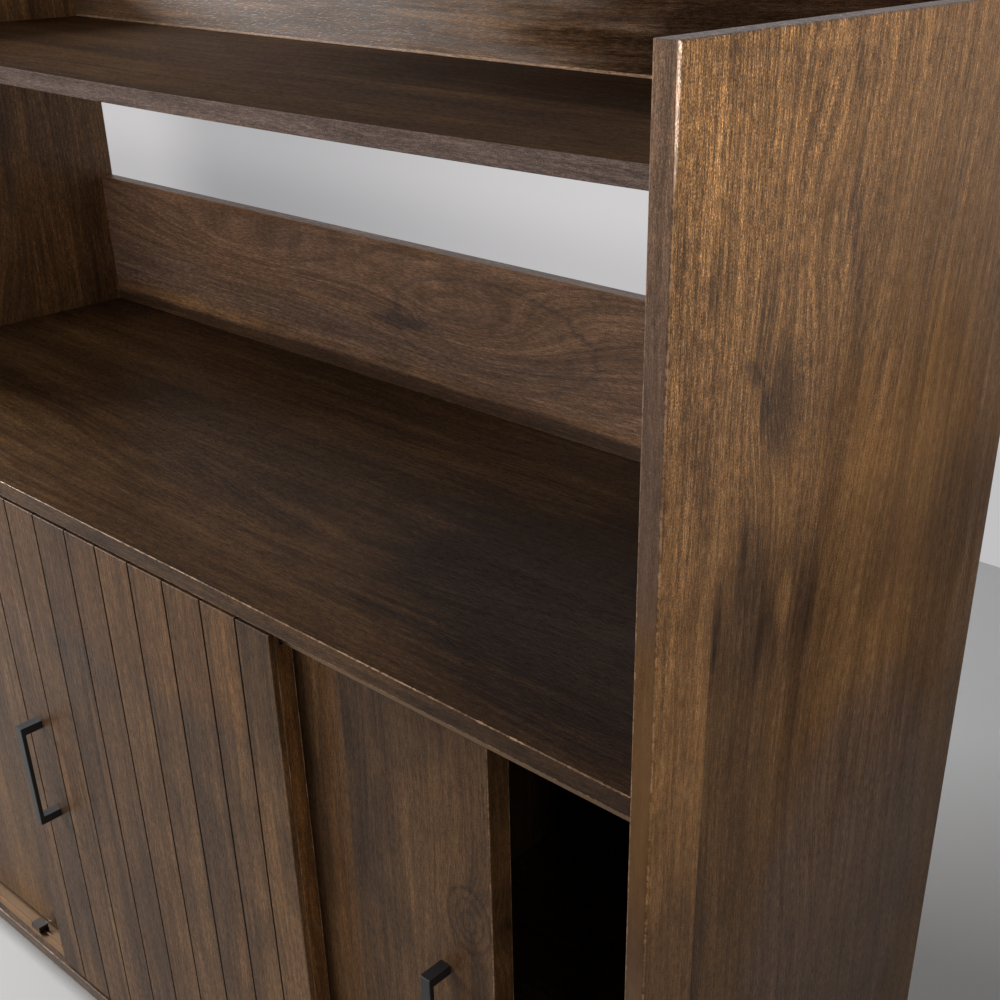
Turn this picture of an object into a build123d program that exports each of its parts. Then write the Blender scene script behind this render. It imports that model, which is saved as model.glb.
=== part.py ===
"""Bar cabinet with a serving counter, an upper shelf and three sliding doors.

Millimetres. X runs to the right seen from the front, Y runs from the front to
the back, Z points up. The origin is at the middle of the footprint, on the floor.
"""

import os

from build123d import *

# Case
width = 1400.0
depth = 500.0
height = 1300.0
counter_height = 813.0
side_thickness = 18.0
counter_thickness = 18.0
edge_round = 2.0
arris_round = 1.0

# Boards over the counter
counter_rail_height = 178.0
rail_thickness = 18.0
upper_shelf_thickness = 18.0
upper_shelf_drop = 96.0
upper_shelf_setback = 150.0
upper_shelf_sag = 6.0
upper_shelf_back_sag = 0.05

# Lower case
bottom_board_thickness = 18.0
plinth_height = 50.0
plinth_thickness = 18.0
plinth_setback = 40.0
rear_plinth_setback = 25.0
divider_thickness = 18.0
divider_clearance = 5.0
back_panel_thickness = 5.0
back_rebate = 8.0
inner_shelf_thickness = 16.0
inner_shelf_height = 340.0
inner_shelf_setback = 20.0
inner_shelf_clearance = 1.0

# Doors
middle_door_setback = 2.0
slat_widths = (48.0, 53.0, 59.0, 57.0, 57.0, 56.0, 60.0, 57.0, 58.0, 50.0)
slat_thickness = 6.0
slat_groove = 1.6
slat_chamfer = 0.5
backing_thickness = 18.0
door_thickness = 25.0
door_spacing = 4.0
door_top_gap = 5.5
door_bottom_gap = 4.0
door_overlap = 18.0
door_side_gap = 2.0
right_door_open = 166.0
outer_door_travel = 250.0
middle_door_travel = 80.0

# Handles
handle_length = 138.0
handle_width = 12.0
handle_bar_depth = 5.0
handle_leg_height = 10.0
handle_standoff = 27.0
handle_inset = 61.0
handle_arris = 0.6
handle_screw_radius = 2.0
handle_screw_bite = 10.0
handle_screw_hole_clearance = 0.25
screw_head_radius = 4.0
screw_head_height = 2.4
screw_head_recess = 3.0
thread_clearance = 0.05

# Rollers and bottom rail
rail_base_thickness = 3.0
rail_rib_width = 2.4
rail_rib_height = 3.0
rail_half_width = 9.0
roller_root_radius = 9.0
roller_flange = 2.0
roller_width = 8.0
roller_rib_clearance = 0.3
roller_rail_gap = 0.2
roller_inset = 60.0
housing_length = 44.0
housing_cheek = 2.0
housing_roof = 2.5
housing_wheel_gap = 1.5
housing_side_gap = 0.5
axle_radius = 2.0
axle_running_clearance = 0.08
axle_seat_clearance = 0.02

# Top track, whose fins run in the doors' lined grooves
track_base_thickness = 3.0
fin_width = 6.0
fin_depth = 17.0
fin_clearance = 0.3
fin_tip_gap = 2.0
fin_tip_round = 1.0
liner_wall = 1.6
liner_floor = 1.2
liner_seat_clearance = 0.05

# Door stops
stop_clearance = 0.5
stop_length = 20.0
stop_width = 14.0
stop_height = 10.0
bumper_radius = 5.0
bumper_thickness = 1.8
bumper_inset = 60.0

# Fasteners and fittings
dowel_radius = 4.0
dowel_side_depth = 10.0
dowel_board_depth = 28.0
dowel_clearance = 0.05
hole_end_room = 1.0
dowel_inset = 60.0
board_end_dowels = 3
rail_dowels = 4
glide_height = 3.0
glide_radius = 8.0
glide_inset = 35.0
glide_nail_radius = 1.3
glide_nail_length = 12.0
pin_radius = 2.5
pin_seat = 7.5
pin_reach = 8.0
pin_levels = (-64.0, 0.0, 64.0)
pin_inset = 50.0
pin_clearance = 0.05
screw_radius = 1.6
screw_cone_radius = 3.2
screw_cone_depth = 1.8
screw_length = 14.0
screw_inset = 60.0
track_screw_count = 6
back_screw_rows = 4
back_screw_columns = 5

# Planes worked out from the sizes above
handle_proud = handle_standoff - middle_door_setback
case_front = -(depth - handle_proud) / 2
case_back = case_front + depth
inner_x = width / 2 - side_thickness
counter_bottom = counter_height - counter_thickness
upper_shelf_top = height - upper_shelf_drop
upper_shelf_bottom = upper_shelf_top - upper_shelf_thickness
upper_shelf_front = case_front + upper_shelf_setback
rail_face = case_back - rail_thickness
floor_top = plinth_height + bottom_board_thickness
inner_back = case_back - back_panel_thickness

door_top = counter_bottom - door_top_gap
door_bottom = floor_top + door_bottom_gap
door_mid_z = (door_top + door_bottom) / 2
middle_width = sum(slat_widths)
middle_half = middle_width / 2
slat_front = case_front + middle_door_setback
backing_front = slat_front + slat_thickness
backing_back = backing_front + backing_thickness
rear_door_front = backing_back + door_spacing
rear_door_back = rear_door_front + door_thickness
front_track_y = (backing_front + backing_back) / 2
rear_track_y = (rear_door_front + rear_door_back) / 2
outer_closed_edge = inner_x - door_side_gap
outer_inner_edge = middle_half - door_overlap
outer_width = outer_closed_edge - outer_inner_edge
outer_centre = (outer_closed_edge + outer_inner_edge) / 2
divider_x = middle_half - door_overlap / 2
divider_front = rear_door_back + divider_clearance

track_front = front_track_y - rail_half_width
track_back = rear_track_y + rail_half_width
track_web_y = (front_track_y + rear_track_y) / 2
track_top = counter_bottom + track_base_thickness
fin_bottom = counter_bottom - fin_depth
liner_half = fin_width / 2 + fin_clearance + liner_wall
liner_seat = fin_bottom - fin_tip_gap - liner_floor
rib_top = floor_top + rail_rib_height
axle_z = rib_top + roller_rail_gap + roller_root_radius
roller_radius = roller_root_radius + roller_flange
pocket_half = roller_radius + housing_wheel_gap
pocket_top = axle_z + pocket_half
housing_top = pocket_top + housing_roof
slot_width = roller_width + 2 * housing_side_gap
housing_width = slot_width + 2 * housing_cheek

os.makedirs("parts", exist_ok=True)


def save(name, part):
    """Label one finished piece and write its file."""
    part.label = name
    export_step(part, "parts/" + name + ".step")


def board(x, y, z):
    """Add a rectangular board that spans the given ranges."""
    with BuildSketch(Plane.XY.offset(z[0])) as outline:
        with Locations(((x[0] + x[1]) / 2, (y[0] + y[1]) / 2)):
            Rectangle(x[1] - x[0], y[1] - y[0])
    extrude(outline.sketch, amount=z[1] - z[0])


def cut_box(x, y, z):
    """Cut a rectangular pocket that spans the given ranges."""
    with Locations(((x[0] + x[1]) / 2, (y[0] + y[1]) / 2, (z[0] + z[1]) / 2)):
        Box(x[1] - x[0], y[1] - y[0], z[1] - z[0], mode=Mode.SUBTRACT)


def rod(start, direction, radius, length, mode=Mode.ADD):
    """A round bar that starts at a point and runs along a direction."""
    with BuildSketch(Plane(origin=start, z_dir=direction)) as disc:
        Circle(radius)
    extrude(disc.sketch, amount=length, mode=mode)


def between(low, high, inset, count):
    """Evenly spaced places, the first and last one inset from the ends."""
    step = (high - low - 2 * inset) / (count - 1)
    return [low + inset + i * step for i in range(count)]


def cone(head, direction, wide, narrow, mode=Mode.ADD):
    """The countersunk head of a screw, or its seat, with the wide end at a point."""
    with BuildSketch(Plane(origin=head, z_dir=direction)) as mouth:
        Circle(wide)
    with BuildSketch(Plane(origin=head, z_dir=direction).offset(screw_cone_depth)) as neck:
        Circle(narrow)
    loft([mouth.sketch, neck.sketch], mode=mode)


def screw(head, direction):
    """Countersunk screw whose flat head lies at a point."""
    cone(head, direction, screw_cone_radius, screw_radius)
    rod(head, direction, screw_radius, screw_length)


def screw_hole(head, direction):
    """Cut the seat of one countersunk screw."""
    wide, narrow = screw_cone_radius + thread_clearance, screw_radius + thread_clearance
    cone(head, direction, wide, narrow, Mode.SUBTRACT)
    rod(head, direction, narrow, screw_length + hole_end_room, Mode.SUBTRACT)


# Dowel places

counter_mid = counter_height - counter_thickness / 2
floor_mid = plinth_height + bottom_board_thickness / 2
upper_shelf_mid = upper_shelf_top - upper_shelf_thickness / 2
rail_mid_y = (rail_face + case_back) / 2
plinth_mid_z = (glide_height + plinth_height) / 2
front_plinth_y = case_front + plinth_setback + plinth_thickness / 2
rear_plinth_y = case_back - rear_plinth_setback - plinth_thickness / 2
case_dowel_y = between(track_back, inner_back, dowel_inset, board_end_dowels)
shelf_dowel_y = between(upper_shelf_front, case_back, dowel_inset, 2)
counter_rail_top = counter_height + counter_rail_height
counter_rail_dowel_z = between(counter_height, counter_rail_top, counter_rail_height / 4, 2)
upper_rail_dowel_z = between(upper_shelf_top, height, upper_shelf_drop / 4, 2)
divider_dowel_y = between(divider_front, inner_back, dowel_inset, board_end_dowels)
rail_dowel_x = between(-inner_x, inner_x, dowel_inset, rail_dowels)

counter_ends = [(y, counter_mid) for y in case_dowel_y]
floor_ends = [(y, floor_mid) for y in case_dowel_y]
upper_shelf_ends = [(y, upper_shelf_mid) for y in shelf_dowel_y]
counter_rail_ends = [(rail_mid_y, z) for z in counter_rail_dowel_z]
upper_rail_ends = [(rail_mid_y, z) for z in upper_rail_dowel_z]
front_plinth_ends = [(front_plinth_y, plinth_mid_z)]
rear_plinth_ends = [(rear_plinth_y, plinth_mid_z)]
side_ends = counter_ends + floor_ends + upper_shelf_ends + counter_rail_ends
side_ends += upper_rail_ends + front_plinth_ends + rear_plinth_ends
divider_plan = [(side * divider_x, y) for side in (-1, 1) for y in divider_dowel_y]
rail_plan = [(x, rail_mid_y) for x in rail_dowel_x]
hole_radius = dowel_radius + dowel_clearance
dowel_length = dowel_side_depth + dowel_board_depth


def cut_end_dowels(ends):
    """Cut the dowel holes in both ends of a board that spans the case."""
    for side in (-1, 1):
        for y, z in ends:
            start = (side * inner_x, y, z)
            rod(start, (-side, 0, 0), hole_radius, dowel_board_depth + hole_end_room, Mode.SUBTRACT)


def cut_plan_dowels(plan, z, up, length):
    """Cut upright dowel holes that open at height z and run up or down."""
    for x, y in plan:
        rod((x, y, z), (0, 0, up), hole_radius, length + hole_end_room, Mode.SUBTRACT)


# Shelf pin places

shelf_bottom = inner_shelf_height
pin_z = shelf_bottom - pin_radius
shelf_front = divider_front + inner_shelf_setback
pin_y = between(shelf_front, inner_back, pin_inset, 2)
divider_half = divider_thickness / 2
pin_walls = [
    (-inner_x, 1),
    (-divider_x - divider_half, -1),
    (-divider_x + divider_half, 1),
    (divider_x - divider_half, -1),
    (divider_x + divider_half, 1),
    (inner_x, -1),
]


def cut_pin_holes(walls):
    """Cut the rows of shelf pin holes in wall faces given as place and outward side."""
    hole = pin_radius + pin_clearance
    for x, out in walls:
        for y in pin_y:
            for level in pin_levels:
                start = (x, y, pin_z + level)
                rod(start, (-out, 0, 0), hole, pin_seat + pin_clearance, Mode.SUBTRACT)


# Side panels

glide_places = [(side * (width / 2 - side_thickness / 2), y) for side in (-1, 1)
                for y in between(case_front, case_back, glide_inset, 2)]
glide_places += [(x, y) for x in (-divider_x, divider_x) for y in (front_plinth_y, rear_plinth_y)]


def cut_glide_nails():
    """Cut the nail holes of the foot glides."""
    for x, y in glide_places:
        rod((x, y, glide_height), (0, 0, 1), glide_nail_radius, glide_nail_length, Mode.SUBTRACT)


back_screw_z = between(plinth_height, counter_bottom, screw_inset, back_screw_rows)
back_side_x = inner_x + back_rebate / 2
back_screws = [(side * back_side_x, z) for side in (-1, 1) for z in back_screw_z]
back_screws += [(side * divider_x, z) for side in (-1, 1) for z in back_screw_z[1:]]
back_screws += [(x, floor_mid) for x in between(-inner_x, inner_x, 2 * screw_inset, back_screw_columns)]


def cut_back_screws():
    """Cut the pilot holes of the back panel's screws."""
    for x, z in back_screws:
        screw_hole((x, case_back, z), (0, -1, 0))


for side, side_name in ((-1, "left"), (1, "right")):
    with BuildPart() as side_panel:
        outer = side * width / 2
        inner = side * inner_x
        board(sorted((inner, outer)), (case_front, case_back), (glide_height, height))
        faces = side_panel.faces().filter_by(Axis.X).sort_by(Axis.X)
        inside, outside = faces if side > 0 else faces[::-1]
        inner_arrises = [inside.edges().sort_by(Axis.Y)[0], inside.edges().sort_by(Axis.Z)[-1]]
        fillet(outside.edges(), edge_round)
        fillet(inner_arrises, arris_round)
        cut_box(sorted((inner, inner + side * back_rebate)), (inner_back, case_back + edge_round),
                (plinth_height, counter_bottom))
        for y, z in side_ends:
            rod((inner, y, z), (side, 0, 0), hole_radius, dowel_side_depth + hole_end_room, Mode.SUBTRACT)
        cut_pin_holes([wall for wall in pin_walls if wall[0] == inner])
        cut_glide_nails()
        cut_back_screws()
    save(side_name + "_side_panel", side_panel.part)


# Counter, with its front edge eased above and below

with BuildPart() as counter_top:
    board((-inner_x, inner_x), (case_front, case_back), (counter_bottom, counter_height))
    fillet(counter_top.faces().sort_by(Axis.Y)[0].edges().filter_by(Axis.X), arris_round)
    cut_box((-inner_x, inner_x), (track_front, track_back), (counter_bottom, track_top))
    cut_end_dowels(counter_ends)
    cut_plan_dowels(divider_plan, counter_bottom, 1, dowel_side_depth)
    cut_plan_dowels(rail_plan, counter_height, -1, dowel_side_depth)
    for x in between(-inner_x, inner_x, screw_inset, track_screw_count):
        screw_hole((x, track_web_y, counter_bottom), (0, 0, 1))
save("counter_top", counter_top.part)


# Boards that stand at the back, over the counter and over the upper shelf

def ease_rail(rail):
    """Ease the long edges of a back rail, all but the one at its lower back."""
    front_edges = rail.faces().sort_by(Axis.Y)[0].edges().filter_by(Axis.X)
    top_back = rail.faces().sort_by(Axis.Y)[-1].edges().filter_by(Axis.X).sort_by(Axis.Z)[-1]
    fillet(front_edges + [top_back], arris_round)


with BuildPart() as counter_back_rail:
    board((-inner_x, inner_x), (rail_face, case_back), (counter_height, counter_rail_top))
    ease_rail(counter_back_rail)
    cut_end_dowels(counter_rail_ends)
    cut_plan_dowels(rail_plan, counter_height, 1, dowel_board_depth)
save("counter_back_rail", counter_back_rail.part)

with BuildPart() as upper_back_rail:
    board((-inner_x, inner_x), (rail_face, case_back), (upper_shelf_top, height))
    ease_rail(upper_back_rail)
    cut_end_dowels(upper_rail_ends)
save("upper_back_rail", upper_back_rail.part)


# Upper shelf, level at the back and sagging along its free front edge

def shelf_section(y, sag):
    """Upright section of the upper shelf at depth y, its middle lower by sag."""
    top, bottom = upper_shelf_top, upper_shelf_bottom
    with BuildSketch(Plane.XZ.offset(-y)) as section:
        with BuildLine():
            ThreePointArc((-inner_x, top), (0, top - sag), (inner_x, top))
            Line((inner_x, top), (inner_x, bottom))
            ThreePointArc((inner_x, bottom), (0, bottom - sag), (-inner_x, bottom))
            Line((-inner_x, bottom), (-inner_x, top))
        make_face()
    return section.sketch


with BuildPart() as upper_shelf:
    front_section = shelf_section(upper_shelf_front, upper_shelf_sag)
    back_section = shelf_section(rail_face, upper_shelf_back_sag)
    loft([front_section, back_section], ruled=True)
    front_face = upper_shelf.faces().sort_by(Axis.Y)[0]
    fillet(front_face.edges().sort_by(SortBy.LENGTH)[-2:], arris_round)
    board((-inner_x, inner_x), (rail_face, case_back), (upper_shelf_bottom, upper_shelf_top))
    cut_end_dowels(upper_shelf_ends)
save("upper_shelf", upper_shelf.part)


# Bottom board, with the seat of the door rail

with BuildPart() as bottom_board:
    board((-inner_x, inner_x), (case_front, inner_back), (plinth_height, floor_top))
    fillet(bottom_board.faces().sort_by(Axis.Y)[0].edges().filter_by(Axis.X), arris_round)
    cut_box((-inner_x, inner_x), (track_front, track_back), (floor_top - rail_base_thickness, floor_top))
    cut_end_dowels(floor_ends)
    cut_plan_dowels(divider_plan, floor_top, -1, dowel_side_depth)
    for x in between(-inner_x, inner_x, screw_inset, track_screw_count):
        screw_hole((x, track_web_y, floor_top), (0, 0, -1))
    cut_back_screws()
save("bottom_board", bottom_board.part)


# Dividers, inner shelves and back panel

for side, side_name in ((-1, "left"), (1, "right")):
    with BuildPart() as divider:
        middle = side * divider_x
        faces = (middle - divider_half, middle + divider_half)
        board(faces, (divider_front, inner_back), (floor_top, counter_bottom))
        cut_plan_dowels(divider_plan, floor_top, 1, dowel_board_depth)
        cut_plan_dowels(divider_plan, counter_bottom, -1, dowel_board_depth)
        cut_pin_holes([wall for wall in pin_walls if abs(wall[0] - middle) < divider_thickness])
        cut_back_screws()
    save(side_name + "_divider", divider.part)

bay_walls = (
    ("left", -inner_x, -divider_x - divider_half),
    ("middle", -divider_x + divider_half, divider_x - divider_half),
    ("right", divider_x + divider_half, inner_x),
)
for bay, low, high in bay_walls:
    with BuildPart() as inner_shelf:
        board((low + inner_shelf_clearance, high - inner_shelf_clearance),
              (shelf_front, inner_back - inner_shelf_clearance),
              (shelf_bottom, shelf_bottom + inner_shelf_thickness))
        fillet(inner_shelf.faces().sort_by(Axis.Y)[0].edges().filter_by(Axis.X), arris_round)
    save(bay + "_inner_shelf", inner_shelf.part)

with BuildPart() as shelf_pins:
    for x, out in pin_walls:
        for y in pin_y:
            rod((x - out * pin_seat, y, pin_z), (out, 0, 0), pin_radius, pin_seat + pin_reach)
save("shelf_pins", shelf_pins.part)

with BuildPart() as back_panel:
    reach = inner_x + back_rebate
    board((-reach, reach), (inner_back, case_back), (plinth_height, counter_bottom))
    cut_back_screws()
save("back_panel", back_panel.part)

with BuildPart() as back_panel_screws:
    for x, z in back_screws:
        screw((x, case_back, z), (0, -1, 0))
save("back_panel_screws", back_panel_screws.part)


# Plinth and foot glides

for name, middle, ends in (("front_plinth", front_plinth_y, front_plinth_ends),
                           ("rear_plinth", rear_plinth_y, rear_plinth_ends)):
    with BuildPart() as plinth:
        board((-inner_x, inner_x), (middle - plinth_thickness / 2, middle + plinth_thickness / 2),
              (glide_height, plinth_height))
        cut_end_dowels(ends)
        cut_glide_nails()
    save(name, plinth.part)

with BuildPart() as foot_glides:
    with BuildSketch():
        with Locations(glide_places):
            Circle(glide_radius)
    extrude(amount=glide_height)
    chamfer(foot_glides.faces().sort_by(Axis.Z)[0:len(glide_places)].edges(), arris_round)
    with BuildSketch(Plane.XY.offset(glide_height)):
        with Locations(glide_places):
            Circle(glide_nail_radius - thread_clearance)
    extrude(amount=glide_nail_length - hole_end_room)
save("foot_glides", foot_glides.part)


# Dowels

with BuildPart() as dowels:
    for side in (-1, 1):
        for y, z in side_ends:
            start = (side * (inner_x + dowel_side_depth), y, z)
            rod(start, (-side, 0, 0), dowel_radius, dowel_length)
    for x, y in divider_plan:
        rod((x, y, floor_top - dowel_side_depth), (0, 0, 1), dowel_radius, dowel_length)
        rod((x, y, counter_bottom + dowel_side_depth), (0, 0, -1), dowel_radius, dowel_length)
    for x, y in rail_plan:
        rod((x, y, counter_height - dowel_side_depth), (0, 0, 1), dowel_radius, dowel_length)
save("dowels", dowels.part)


# Top track with two fins, and its screws

with BuildPart() as top_track:
    board((-inner_x, inner_x), (track_front, track_back), (counter_bottom, track_top))
    for y in (front_track_y, rear_track_y):
        board((-inner_x, inner_x), (y - fin_width / 2, y + fin_width / 2), (fin_bottom, counter_bottom))
    fillet(top_track.edges().filter_by(Axis.X).group_by(Axis.Z)[0], fin_tip_round)
    for x in between(-inner_x, inner_x, screw_inset, track_screw_count):
        screw_hole((x, track_web_y, counter_bottom), (0, 0, 1))
save("top_track", top_track.part)

with BuildPart() as top_track_screws:
    for x in between(-inner_x, inner_x, screw_inset, track_screw_count):
        screw((x, track_web_y, counter_bottom), (0, 0, 1))
save("top_track_screws", top_track_screws.part)


# Bottom rail with two ribs, and its screws

with BuildPart() as bottom_rail:
    with BuildSketch(Plane.YZ.offset(-inner_x)):
        with Locations(((track_front + track_back) / 2, floor_top - rail_base_thickness / 2)):
            Rectangle(track_back - track_front, rail_base_thickness)
        for y in (front_track_y, rear_track_y):
            with Locations((y, floor_top + rail_rib_height / 2)):
                Rectangle(rail_rib_width, rail_rib_height)
    extrude(amount=2 * inner_x)
    for x in between(-inner_x, inner_x, screw_inset, track_screw_count):
        screw_hole((x, track_web_y, floor_top), (0, 0, -1))
save("bottom_rail", bottom_rail.part)

with BuildPart() as bottom_rail_screws:
    for x in between(-inner_x, inner_x, screw_inset, track_screw_count):
        screw((x, track_web_y, floor_top), (0, 0, -1))
save("bottom_rail_screws", bottom_rail_screws.part)


# Stops that straddle the ribs, and the bumpers of the outer doors

def stop_block(x, y):
    """Add a stop that spans x and straddles the rib at y."""
    board(x, (y - stop_width / 2, y + stop_width / 2), (floor_top, floor_top + stop_height))
    rib = rail_rib_width / 2 + thread_clearance
    cut_box(x, (y - rib, y + rib), (floor_top, rib_top + thread_clearance))


rear_stop_half = outer_inner_edge - outer_door_travel - stop_clearance
front_stop_start = middle_half + middle_door_travel + stop_clearance
with BuildPart() as rail_stops:
    stop_block((-rear_stop_half, rear_stop_half), rear_track_y)
    for side in (-1, 1):
        ends = sorted((side * front_stop_start, side * (front_stop_start + stop_length)))
        stop_block(ends, front_track_y)
save("rail_stops", rail_stops.part)

with BuildPart() as door_bumpers:
    for side in (-1, 1):
        for z in (door_bottom + bumper_inset, door_top - bumper_inset):
            rod((side * inner_x, rear_track_y, z), (-side, 0, 0), bumper_radius, bumper_thickness)
save("door_bumpers", door_bumpers.part)


# Doors

def cut_door_seats(centre, half, track_y):
    """Cut the roller mortises and the top groove of one door."""
    for side in (-1, 1):
        x = centre + side * (half - roller_inset)
        cut_box((x - housing_length / 2, x + housing_length / 2),
                (track_y - housing_width / 2, track_y + housing_width / 2), (door_bottom, housing_top))
    groove = liner_half + liner_seat_clearance
    cut_box((centre - half, centre + half), (track_y - groove, track_y + groove), (liner_seat, door_top))


def cut_handle_screws(x, inside):
    """Cut the handle's screw holes, counterbored on the door's inside face."""
    for z in handle_screw_z:
        start = (x, inside, z)
        head_hole = screw_head_radius + handle_screw_hole_clearance
        shank_hole = handle_screw_radius + handle_screw_hole_clearance
        rod(start, (0, -1, 0), head_hole, screw_head_recess, Mode.SUBTRACT)
        rod(start, (0, -1, 0), shank_hole, handle_drill_depth, Mode.SUBTRACT)


handle_screw_offset = (handle_length - handle_leg_height) / 2
handle_screw_z = (door_mid_z - handle_screw_offset, door_mid_z + handle_screw_offset)
handle_drill_depth = door_thickness + backing_thickness + slat_thickness


def make_running_gear(name, centre, half, track_y):
    """Write the rollers, housings, axles and groove liner of one door."""
    roller_x = [centre + side * (half - roller_inset) for side in (-1, 1)]
    with BuildPart() as housings:
        for x in roller_x:
            board((x - housing_length / 2, x + housing_length / 2),
                  (track_y - housing_width / 2, track_y + housing_width / 2), (door_bottom, housing_top))
            cut_box((x - pocket_half, x + pocket_half), (track_y - slot_width / 2, track_y + slot_width / 2),
                    (door_bottom, pocket_top))
            axle_hole = axle_radius + axle_seat_clearance
            rod((x, track_y - housing_width / 2, axle_z), (0, 1, 0), axle_hole, housing_width, Mode.SUBTRACT)
    save(name + "_roller_housings", housings.part)
    with BuildPart() as axles:
        for x in roller_x:
            rod((x, track_y - housing_width / 2, axle_z), (0, 1, 0), axle_radius, housing_width)
    save(name + "_roller_axles", axles.part)
    for x, place in zip(roller_x, ("left", "right")):
        with BuildPart() as roller:
            rod((x, track_y - roller_width / 2, axle_z), (0, 1, 0), roller_radius, roller_width)
            groove_width = rail_rib_width + 2 * roller_rib_clearance
            with BuildSketch(Plane(origin=(x, track_y - groove_width / 2, axle_z), z_dir=(0, 1, 0))):
                Circle(roller_radius)
                Circle(roller_root_radius, mode=Mode.SUBTRACT)
            extrude(amount=groove_width, mode=Mode.SUBTRACT)
            rod((x, track_y - roller_width / 2, axle_z), (0, 1, 0), axle_radius + axle_running_clearance,
                roller_width, Mode.SUBTRACT)
        save(name + "_" + place + "_roller", roller.part)
    span = (centre - half, centre + half)
    channel = fin_width / 2 + fin_clearance
    with BuildPart() as liner:
        board(span, (track_y - liner_half, track_y + liner_half), (liner_seat, door_top))
        cut_box(span, (track_y - channel, track_y + channel), (liner_seat + liner_floor, door_top))
    save(name + "_groove_liner", liner.part)


def make_handle(name, x, face, inside):
    """Write a bar handle that stands on a door face, and its two screws."""
    with BuildPart() as handle:
        with BuildSketch(Plane.YZ.offset(x - handle_width / 2)):
            with Locations((face - handle_standoff / 2, door_mid_z)):
                Rectangle(handle_standoff, handle_length)
            with Locations((face - (handle_standoff - handle_bar_depth) / 2, door_mid_z)):
                Rectangle(handle_standoff - handle_bar_depth, handle_length - 2 * handle_leg_height,
                          mode=Mode.SUBTRACT)
        extrude(amount=handle_width)
        front = handle.faces().filter_by(Axis.Y).sort_by(Axis.Y)[0]
        chamfer(front.edges(), handle_arris)
        for z in handle_screw_z:
            rod((x, face, z), (0, -1, 0), handle_screw_radius + thread_clearance,
                handle_screw_bite + hole_end_room, Mode.SUBTRACT)
    save(name + "_handle", handle.part)
    with BuildPart() as screws:
        for z in handle_screw_z:
            head = inside - screw_head_recess
            rod((x, head, z), (0, 1, 0), screw_head_radius, screw_head_height)
            rod((x, head, z), (0, -1, 0), handle_screw_radius, head - face + handle_screw_bite)
    save(name + "_handle_screws", screws.part)


outer_doors = (
    ("left_door", -1, -outer_centre),
    ("right_door", 1, outer_centre - right_door_open),
)
for name, side, centre in outer_doors:
    half = outer_width / 2
    handle_x = centre + side * (half - handle_inset)
    with BuildPart() as door:
        board((centre - half, centre + half), (rear_door_front, rear_door_back), (door_bottom, door_top))
        fillet(door.faces().sort_by(Axis.Y)[0].edges(), arris_round)
        cut_door_seats(centre, half, rear_track_y)
        cut_handle_screws(handle_x, rear_door_back)
    save(name, door.part)
    make_running_gear(name, centre, half, rear_track_y)
    make_handle(name, handle_x, rear_door_front, rear_door_back)

middle_handle_x = slat_widths[-1] + slat_widths[-2] / 2 - middle_half
with BuildPart() as middle_backing:
    board((-middle_half, middle_half), (backing_front, backing_back), (door_bottom, door_top))
    cut_door_seats(0, middle_half, front_track_y)
    cut_handle_screws(middle_handle_x, backing_back)
save("middle_door_backing", middle_backing.part)

slat_edge = middle_half
for number, slat_width in enumerate(slat_widths):
    right_gap = 0 if number == 0 else slat_groove / 2
    left_gap = 0 if number == len(slat_widths) - 1 else slat_groove / 2
    low, high = slat_edge - slat_width + left_gap, slat_edge - right_gap
    with BuildPart() as slat:
        board((low, high), (slat_front, backing_front), (door_bottom, door_top))
        chamfer(slat.faces().sort_by(Axis.Y)[0].edges(), slat_chamfer)
        if low < middle_handle_x < high:
            cut_handle_screws(middle_handle_x, backing_back)
    save("middle_door_slat_" + str(number + 1).zfill(2), slat.part)
    slat_edge -= slat_width
make_running_gear("middle_door", 0, middle_half, front_track_y)
make_handle("middle_door", middle_handle_x, slat_front, backing_back)
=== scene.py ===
"""Looks of the bar cabinet: finishes on every piece, soft light and the photograph's camera.

Metres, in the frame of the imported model: X to the right seen from the front, Y to the back, Z up. Places
and sizes on the boards are in millimetres.
"""

import math

import bpy
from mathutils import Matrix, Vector


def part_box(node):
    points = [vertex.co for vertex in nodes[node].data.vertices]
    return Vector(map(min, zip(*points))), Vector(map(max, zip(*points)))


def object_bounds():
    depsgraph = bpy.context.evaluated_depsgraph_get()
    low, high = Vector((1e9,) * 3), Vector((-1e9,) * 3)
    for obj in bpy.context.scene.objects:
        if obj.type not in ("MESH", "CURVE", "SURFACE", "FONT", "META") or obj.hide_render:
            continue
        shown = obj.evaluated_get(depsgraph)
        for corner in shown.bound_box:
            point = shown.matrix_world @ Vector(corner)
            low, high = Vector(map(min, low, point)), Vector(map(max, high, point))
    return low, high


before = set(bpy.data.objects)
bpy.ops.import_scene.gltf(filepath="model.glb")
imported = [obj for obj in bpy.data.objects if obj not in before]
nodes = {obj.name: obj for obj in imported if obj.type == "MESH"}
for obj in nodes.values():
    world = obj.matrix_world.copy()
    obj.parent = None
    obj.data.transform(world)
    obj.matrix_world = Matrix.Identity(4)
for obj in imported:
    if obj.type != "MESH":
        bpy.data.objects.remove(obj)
cad_low, cad_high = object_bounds()

MM = 0.001
AXES = "xyz"


# Camera, at the photograph's viewing angle

CAMERA_PLACE = (1.1448, -0.8425, 1.3747)
CAMERA_PITCH = 28.39
CAMERA_YAW = 40.99
SENSOR_WIDTH = 36.0
FOCAL_LENGTH = 48.70
CAMERA_SHIFT = (-0.0614, 0.1058)
NEAREST_SEEN = 0.05


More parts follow.
